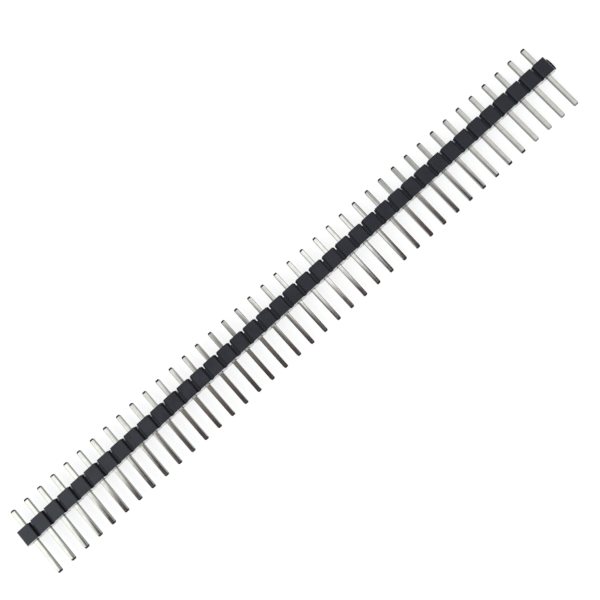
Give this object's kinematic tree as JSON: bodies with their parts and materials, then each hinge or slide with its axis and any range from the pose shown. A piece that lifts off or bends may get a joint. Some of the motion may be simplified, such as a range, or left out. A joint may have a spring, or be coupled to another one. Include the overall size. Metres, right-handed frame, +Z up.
{
  "type": "pin header strip",
  "caption": "Straight single-row break-away pin header: square plated pins pressed through a black notched insulator strip, lying on its side.",
  "frame": {"origin": "on the plane that the strip rests on, midway between the first and the last pin and under the middle of the pins' length", "axes": "+X along the row from pin 1 to pin 40, -Y along the long contacts, +Y along the short solder tails, +Z up from the side that it rests on"},
  "size_m": [0.1017, 0.0112, 0.0025],
  "materials": {
    "insulator": "satin",
    "pin_plating": "gloss"
  },
  "bodies": {
    "root": {"insulator_strip": "insulator", "pin_01": "pin_plating", "pin_02": "pin_plating", "pin_03": "pin_plating", "pin_04": "pin_plating", "pin_05": "pin_plating", "pin_06": "pin_plating", "pin_07": "pin_plating", "pin_08": "pin_plating", "pin_09": "pin_plating", "pin_10": "pin_plating", "pin_11": "pin_plating", "pin_12": "pin_plating", "pin_13": "pin_plating", "pin_14": "pin_plating", "pin_15": "pin_plating", "pin_16": "pin_plating", "pin_17": "pin_plating", "pin_18": "pin_plating", "pin_19": "pin_plating", "pin_20": "pin_plating", "pin_21": "pin_plating", "pin_22": "pin_plating", "pin_23": "pin_plating", "pin_24": "pin_plating", "pin_25": "pin_plating", "pin_26": "pin_plating", "pin_27": "pin_plating", "pin_28": "pin_plating", "pin_29": "pin_plating", "pin_30": "pin_plating", "pin_31": "pin_plating", "pin_32": "pin_plating", "pin_33": "pin_plating", "pin_34": "pin_plating", "pin_35": "pin_plating", "pin_36": "pin_plating", "pin_37": "pin_plating", "pin_38": "pin_plating", "pin_39": "pin_plating", "pin_40": "pin_plating"}
  },
  "joints": []
}
